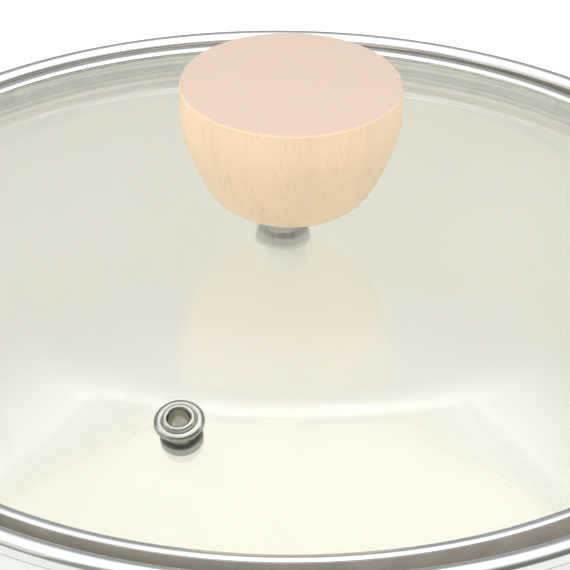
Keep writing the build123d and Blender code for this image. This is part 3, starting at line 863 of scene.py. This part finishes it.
class SAUCEPAN_OT_vent(Operator):
    """Polished vent eyelet with its washer"""
    bl_idname = "saucepan.vent"
    bl_label = "Steam vent"

    def execute(self, context):
        sizes = context.scene.lid_sizes
        place = vent_frame(sizes)
        bore = 2.0 * MM
        tube = 2.6 * MM
        rim = 4.6 * MM
        base = 0.55 * MM
        rise = 1.6 * MM
        bead = 0.52 * MM
        foot_top = -sizes.glass - 0.95 * MM
        foot_end = foot_top - 0.5 * MM
        outline = arc((bore + bead, base + rise - bead), bead, 180, 0, 14)
        outline += [(bore + 2 * bead + CLEARANCE, base + rise * 0.52)]
        outline += arc((rim - 1.0 * MM, base + CLEARANCE), 1.0 * MM, 100, 0, 14)
        outline += [(rim - 0.15 * MM, base), (tube, base), (tube, foot_top), (tube + 0.7 * MM, foot_top),
                    (tube + 0.5 * MM, foot_end), (bore, foot_end)]
        eyelet = turn("vent_eyelet_polished", outline, (0, 0), SMALL_STEPS)
        put(eyelet, place)
        dress(eyelet, plain_part("vent_steel", 0.52, 0.51, 0.47, 1.0, 0.10))
        belongs(eyelet, "lid", "vent_steel", "vent_eyelet")
        top = -sizes.glass - 0.1 * MM
        foot = 3.9 * MM
        under = top - 0.8 * MM
        ring = [(tube + CLEARANCE, top), (foot, top), (foot, under), (tube + CLEARANCE, under)]
        washer = turn("vent_washer_turned", soften(ring, 0.15 * MM, 3), (0, 0), SMALL_STEPS)
        put(washer, place)
        # The washer is painted near-black: painted shade of the eyelet's underside, seen as a dark band
        # through the glass.
        dress(washer, plain_part("vent_washer_steel", 0.10, 0.095, 0.08, 0.3, 0.45))
        belongs(washer, "lid", "vent_washer_steel", "vent_washer")
        return {"FINISHED"}


# --- knob -----------------------------------------------------------------------------------------
def knob_outline(sizes):
    """Turned side of the knob from its foot to the flat top."""
    foot = low("knob").z
    top = high("knob").z
    wide = radius_of("knob")
    tall = top - foot
    edge = wide - 0.15 * MM
    stations = [
        (sizes.base_radius, foot + 0.4 * MM),
        (wide * 0.455, foot + 0.060 * tall),
        (wide * 0.68, foot + 0.165 * tall),
        (wide * 0.80, foot + 0.30 * tall),
        (wide * 0.92, foot + 0.52 * tall),
        (wide * 0.985, foot + 0.70 * tall),
        (wide, foot + 0.82 * tall),
        (edge + CLEARANCE, foot + 0.93 * tall),
        (edge, top - sizes.edge_round),
    ]
    points = [(0.0, foot), (sizes.base_radius - 0.4 * MM, foot)]
    points += smooth_run(stations, 7)
    rounding = sizes.edge_round
    points += arc((edge - rounding, top - rounding), rounding, 0, 90, 6)[1:]
    points.append((0.0, top))
    return points


def smooth_run(stations, count):
    """Curve through stations, rounded as a bent spline would be."""
    points = []
    last = len(stations) - 1
    for index in range(last):
        a = Vector(stations[max(index - 1, 0)])
        b = Vector(stations[index])
        c = Vector(stations[index + 1])
        d = Vector(stations[min(index + 2, last)])
        for step in range(count):
            t = step / count
            spot = 0.5 * (2 * b + (c - a) * t + (2 * a - 5 * b + 4 * c - d) * t**2
                          + (3 * b - a - 3 * c + d) * t**3)
            points.append(tuple(spot))
    points.append(stations[last])
    return points


class SAUCEPAN_OT_knob(Operator):
    """Turned beech knob on its steel collar"""
    bl_idname = "saucepan.knob"
    bl_label = "Knob"

    def execute(self, context):
        at = middle("knob")
        outline = knob_outline(context.scene.knob_sizes)
        knob = turn("knob_beech", outline, at, 192, closed=False)
        pocket = radius_of("knob_insert") + CLEARANCE
        clear_selection()
        deep = high("knob_insert").z + MM - low("knob").z
        centre = (SCREW_AXIS.x, SCREW_AXIS.y, low("knob").z + deep / 2 - MM / 2)
        bpy.ops.mesh.primitive_cylinder_add(vertices=64, radius=pocket, depth=deep + MM, location=centre)
        drill = bpy.context.object
        apply_place()
        cut(knob, drill)
        flat_top = (high("knob").z - low("knob").z) / 2
        dress(knob, beech("knob_wood", round(at.x, 4), 0.0, round(at.z, 4), 0.0, round(flat_top, 5)))
        belongs(knob, "lid", "knob_wood", "knob")
        under = low("knob_collar").z
        top = high("knob_collar").z
        wide = radius_of("knob_collar") - 0.9 * MM
        ring = [(2.5 * MM, under), (wide, under), (wide, top), (2.5 * MM, top)]
        collar = turn("knob_collar_polished", soften(ring, 0.35 * MM), SCREW_AXIS, SMALL_STEPS)
        dress(collar, plain_part("collar_steel", 0.80, 0.79, 0.74, 0.35, 0.35))
        belongs(collar, "lid", "collar_steel", "knob_collar")
        return {"FINISHED"}


class SAUCEPAN_OT_knob_fittings(Operator):
    """Finishes of the seal and of the small fittings that carry the knob"""
    bl_idname = "saucepan.knob_fittings"
    bl_label = "Seals and fittings"

    def execute(self, context):
        for node in ("lid_rim_seal", "knob_upper_gasket", "knob_lower_gasket", "vent_gasket"):
            repaint(node, silicone())
        repaint("knob_insert", plain_part("insert_brass", 0.72, 0.52, 0.24, 1.0, 0.30))
        repaint("knob_cup_washer", plain_part("cup_nylon", 0.97, 0.96, 0.90, 0.0, 0.40))
        repaint("knob_lock_washer", drawn_steel("washer_steel", 0.26))
        repaint("knob_screw", drawn_steel("screw_steel", 0.22))
        repaint("handle_rod", plain_part("rod_steel", 0.58, 0.58, 0.56, 1.0, 0.30))
        repaint("handle_washer", plain_part("fibre_washer", 0.11, 0.09, 0.07, 0.0, 0.65))
        return {"FINISHED"}


# --- handle ---------------------------------------------------------------------------------------
def wall_radius(sizes, z):
    """Outside of the straight wall at a height."""
    mouth, foot = pan_radii(sizes)
    top = RIM_TOP - sizes.shoulder_top - sizes.shoulder_height
    share = (z - FLOOR_UNDER) / (top - FLOOR_UNDER)
    return foot + sizes.wall + (mouth - foot) * share


def handle_frame(context):
    """Matrix of the handle: origin on the wall, Z out along the grip, X across."""
    handle = context.scene.handle_sizes
    z = RIM_TOP - handle.drop
    out = Vector((math.cos(handle.rise_angle), 0, math.sin(handle.rise_angle)))
    across = Vector((0, 1, 0))
    up = out.cross(across)
    matrix = Matrix((across, up, out)).transposed().to_4x4()
    matrix.translation = Vector((wall_radius(context.scene.pan_sizes, z), 0, z))
    return matrix


class SAUCEPAN_OT_bracket(Operator):
    """Cast bracket that follows the wall, with its two rivets"""
    bl_idname = "saucepan.bracket"
    bl_label = "Bracket and rivets"

    def execute(self, context):
        repaint("handle_bracket", plain_part("bracket_metal", 0.62, 0.615, 0.60, 1.0, 0.38))
        repaint("handle_rivets", drawn_steel("rivet_metal", 0.28))
        return {"FINISHED"}


class SAUCEPAN_OT_grip(Operator):
    """Beech grip and its steel ferrule"""
    bl_idname = "saucepan.grip"
    bl_label = "Grip and ferrule"

    def execute(self, context):
        sizes = context.scene.handle_sizes
        place = handle_frame(context)
        start = sizes.grip_start
        end = start + sizes.grip_length
        stations = [(0.0, sizes.grip_radius, sizes.grip_radius), (0.12, 0.0135, 0.0129),
                    (0.45, 0.0150, 0.0115), (0.8, sizes.grip_width, sizes.grip_height),
                    (1.0, sizes.end_width, sizes.end_height)]
        tenon = 10.8 * MM
        rings = [(start - 11 * MM, tenon, tenon), (start, tenon, tenon),
                 (start, sizes.grip_radius - 0.4 * MM, sizes.grip_radius - 0.4 * MM)]
        count = 44
        for index in range(count + 1):
            share = index / count
            wide, deep = grip_section(stations, share)
            rings.append((start + 0.3 * MM + share * (sizes.grip_length - 1.2 * MM), wide, deep))
        rings.append((end - 0.3 * MM, sizes.end_width - 0.35 * MM, sizes.end_height - 0.35 * MM))
        rings.append((end, sizes.end_width - 1.0 * MM, sizes.end_height - 1.0 * MM))
        grip = lofted("grip_beech", rings)
        put(grip, place)
        centre = place @ Vector((0, 0, (start + end) / 2))
        wood = beech("grip_wood", round(centre.x, 4), 0.0, round(centre.z, 4),
                     -(math.pi / 2 - sizes.rise_angle))
        dress(grip, wood)
        belongs(grip, "pan", "grip_wood", "handle_grip")
        socket = 10.85 * MM
        socket_floor = 22.05 * MM
        first = sizes.ferrule_start
        narrow = sizes.stem_radius + sizes.ferrule_wall
        outline = [(sizes.stem_radius + CLEARANCE, first), (narrow - 0.3 * MM, first),
                   (narrow, first + 0.4 * MM)]
        mouth = start - 0.06 * MM
        outline += [(sizes.grip_radius - CLEARANCE, start - 0.5 * MM),
                    (sizes.grip_radius - 0.3 * MM, mouth)]
        outline += [(socket, mouth), (socket, socket_floor),
                    (sizes.stem_radius + CLEARANCE, socket_floor)]
        ferrule = turn("ferrule_satin", outline, (0, 0), SMALL_STEPS)
        put(ferrule, place)
        dress(ferrule, drawn_steel("ferrule_steel", 0.26))
        belongs(ferrule, "pan", "handle_steel", "handle_ferrule")
        return {"FINISHED"}


def grip_section(stations, share):
    """Half width and half depth of the grip at a share of its length."""
    for (s0, w0, d0), (s1, w1, d1) in zip(stations, stations[1:]):
        if share <= s1:
            part = (share - s0) / (s1 - s0)
            part = part * part * (3 - 2 * part)
            return w0 + (w1 - w0) * part, d0 + (d1 - d0) * part
    return stations[-1][1:]


class SAUCEPAN_OT_hanging_loop(Operator):
    """End cap and wire loop"""
    bl_idname = "saucepan.hanging_loop"
    bl_label = "End cap and loop"

    def execute(self, context):
        repaint("handle_end_cap", drawn_steel("cap_steel", 0.26))
        lo = low("hanging_loop")
        hi = high("hanging_loop")
        wire = (hi.x - lo.x) / 2
        corner = 8.5 * MM
        steps = 12
        clear_selection()
        bpy.ops.mesh.primitive_plane_add(size=1, location=(0, 0, 0))
        loop = name_it("hanging_loop_wire")
        wide = hi.y - lo.y - 2 * wire
        tall = hi.z - lo.z - 2 * wire
        edit()
        bpy.ops.transform.resize(value=(wide, tall, 1), center_override=(0, 0, 0))
        bpy.ops.mesh.bevel(offset=corner, segments=steps, affect="VERTICES", offset_type="OFFSET")
        bpy.ops.mesh.select_all(action="SELECT")
        bpy.ops.mesh.delete(type="ONLY_FACE")
        leave_edit()
        centre = (lo + hi) / 2
        upright = Matrix(((0, 0, 1, 0), (1, 0, 0, 0), (0, 1, 0, 0), (0, 0, 0, 1)))
        put(loop, Matrix.Translation(centre) @ upright)
        bpy.ops.object.convert(target="CURVE")
        loop = bpy.context.object
        loop.data.bevel_depth = wire
        loop.data.bevel_resolution = 6
        bpy.ops.object.convert(target="MESH")
        loop = name_it("hanging_loop_wire")
        edit()
        close_up()
        dress(loop, drawn_steel("wire_steel", 0.14))
        belongs(loop, "loop", "wire_steel", "hanging_loop")
        return {"FINISHED"}


# --- stage ----------------------------------------------------------------------------------------
def aim(lamp, target):
    lamp.rotation_euler = (Vector(target) - lamp.location).to_track_quat("-Z", "Y").to_euler()


def soft_box(name, location, target, width, depth, watts, tint=(1, 1, 1)):
    clear_selection()
    bpy.ops.object.light_add(type="AREA", location=location)
    lamp = bpy.context.object
    lamp.name = name
    lamp.data.shape = "RECTANGLE"
    lamp.data.size = width
    lamp.data.size_y = depth
    lamp.data.energy = watts
    lamp.data.color = tint
    aim(lamp, target)
    return lamp


def studio_surroundings(strength):
    """Pale room, whose low back and front right look dimmer in polished metal."""
    world = bpy.data.worlds.new("studio")
    bpy.context.scene.world = world
    world.use_nodes = True
    sh = Shader(world.node_tree)
    way = sh.node("ShaderNodeTexCoord", output=0)
    x = sh.axis(way, 0)
    y = sh.axis(way, 1)
    z = sh.axis(way, 2)
    upper = z.between(0.28, 0.62)
    soft = (0.96 + (0 - x).between(-0.3, 0.8) * 0.15) * (1 - upper) + upper * 1.42
    behind = y.between(0.0, 0.4) * (1 - z.between(0.66, 0.9))
    front = (0 - y).between(0.0, 0.3) * (1 - z.between(0.5, 0.85))
    shiny = soft * (1 - behind * 0.62) * (1 - front * (0.66 + x.between(-0.2, 0.6) * 0.12))
    mirrored = sh.node("ShaderNodeLightPath", output=3)
    level = soft * (1 - mirrored) + shiny * mirrored
    tone = sh.mix(behind, (0.985, 0.997, 1.0), (0.88, 0.95, 1.0))
    back = sh.node("ShaderNodeBackground", {}, [tone, level * strength])
    sh.node("ShaderNodeOutputWorld", {}, {"Surface": back})


class SAUCEPAN_OT_stage(Operator):
    """Floor, studio light and camera"""
    bl_idname = "saucepan.stage"
    bl_label = "Stage"

    def execute(self, context):
        stage = context.scene.stage_settings
        clear_selection()
        bpy.ops.mesh.primitive_plane_add(size=6, location=(0, 0, -0.0003))
        floor = name_it("studio_floor")
        made, sh = material("studio_floor")
        place = sh.place()
        grain = sh.noise(place, 40.0, 2.0).between(0.3, 0.7)
        pale = sh.mix(grain, (0.925, 0.925, 0.92), (0.935, 0.935, 0.93))
        # Lamps and reflections see a floor painted darker than the one the camera sees, darkest behind and
        # far in front of the pan: painted shade for the polished steel to mirror.
        along = sh.axis(place, 1)
        distant = along.between(0.15, 0.4) + (0 - along).between(0.4, 0.8)
        dimmer = sh.mix(distant, sh.mix(grain, (0.78, 0.78, 0.785), (0.80, 0.80, 0.80)), (0.36, 0.35, 0.335))
        plain = sh.surface(Base_Color=pale, Roughness=0.9, Specular_IOR_Level=0.1)
        mirrored = sh.surface(Base_Color=dimmer, Roughness=0.9, Specular_IOR_Level=0.1)
        seen = sh.node("ShaderNodeLightPath", output=0)
        sh.finish(sh.node("ShaderNodeMixShader", {}, [seen, mirrored, plain]))
        dress(floor, made)
        studio_surroundings(stage.sky)
        target = (0, 0, RIM_TOP)
        soft_box("overhead_box", (0.05, -0.05, 1.05), target, 1.1, 1.0, stage.overhead)
        soft_box("window_box", (-1.1, -0.55, 0.75), target, 0.9, 0.9, stage.window, (1.0, 0.99, 0.97))
        place_camera(context)
        view = context.scene.view_settings
        view.view_transform = "Standard"
        view.look = "None"
        return {"FINISHED"}


def place_camera(context):
    """Camera on the lid, a little rolled."""
    stage = context.scene.stage_settings
    lid = Vector((LID_AXIS.x, 0, lip_plane(context.scene.lid_sizes)))
    away = Vector((0, -math.cos(stage.elevation), math.sin(stage.elevation)))
    spot = lid + away * stage.distance + Vector((stage.side, 0, 0))
    tip = math.atan(stage.lid_row * SENSOR_WIDTH / stage.lens)
    tilt = stage.elevation + tip
    ahead = Vector((0, math.cos(tilt), -math.sin(tilt)))
    across = Vector((1, 0, 0))
    up = across.cross(ahead)
    right = across * math.cos(stage.roll) + up * math.sin(stage.roll)
    upright = up * math.cos(stage.roll) - across * math.sin(stage.roll)
    clear_selection()
    bpy.ops.object.camera_add()
    camera = bpy.context.object
    camera.name = "camera"
    matrix = Matrix((right, upright, -ahead)).transposed().to_4x4()
    matrix.translation = spot
    camera.matrix_world = matrix
    camera.data.sensor_width = SENSOR_WIDTH
    camera.data.lens = stage.lens
    camera.data.clip_start = 0.01
    camera.data.clip_end = 50
    context.scene.camera = camera


class SAUCEPAN_PT_panel(Panel):
    """Lists the steps that build the pan"""
    bl_idname = "SAUCEPAN_PT_panel"
    bl_label = "Saucepan"
    bl_space_type = "VIEW_3D"
    bl_region_type = "UI"
    bl_category = "Saucepan"

    def draw(self, context):
        for step in STEPS:
            self.layout.operator(step.bl_idname)
        for name in GROUPS:
            self.layout.label(text=name)
            group = getattr(context.scene, name)
            for key in group.bl_rna.properties.keys():
                if key not in {"rna_type", "name"}:
                    self.layout.prop(group, key)


GROUPS = {
    "pan_sizes": PanSizes,
    "lid_sizes": LidSizes,
    "knob_sizes": KnobSizes,
    "handle_sizes": HandleSizes,
    "finishes": Finishes,
    "stage_settings": StageSettings,
}
STEPS = (
    SAUCEPAN_OT_body, SAUCEPAN_OT_rim_band, SAUCEPAN_OT_base, SAUCEPAN_OT_glass, SAUCEPAN_OT_rim_ring,
    SAUCEPAN_OT_vent, SAUCEPAN_OT_knob, SAUCEPAN_OT_knob_fittings, SAUCEPAN_OT_bracket, SAUCEPAN_OT_grip,
    SAUCEPAN_OT_hanging_loop, SAUCEPAN_OT_stage,
)


def register():
    for name, group in GROUPS.items():
        bpy.utils.register_class(group)
        setattr(bpy.types.Scene, name, PointerProperty(type=group))
    for step in STEPS:
        bpy.utils.register_class(step)
    bpy.utils.register_class(SAUCEPAN_PT_panel)


def unregister():
    bpy.utils.unregister_class(SAUCEPAN_PT_panel)
    for step in reversed(STEPS):
        bpy.utils.unregister_class(step)
    for name, group in GROUPS.items():
        delattr(bpy.types.Scene, name)
        bpy.utils.unregister_class(group)


def main():
    register()
    for step in STEPS:
        group, action = step.bl_idname.split(".")
        getattr(getattr(bpy.ops, group), action)()
    clear_selection()


if __name__ == "__main__":
    main()
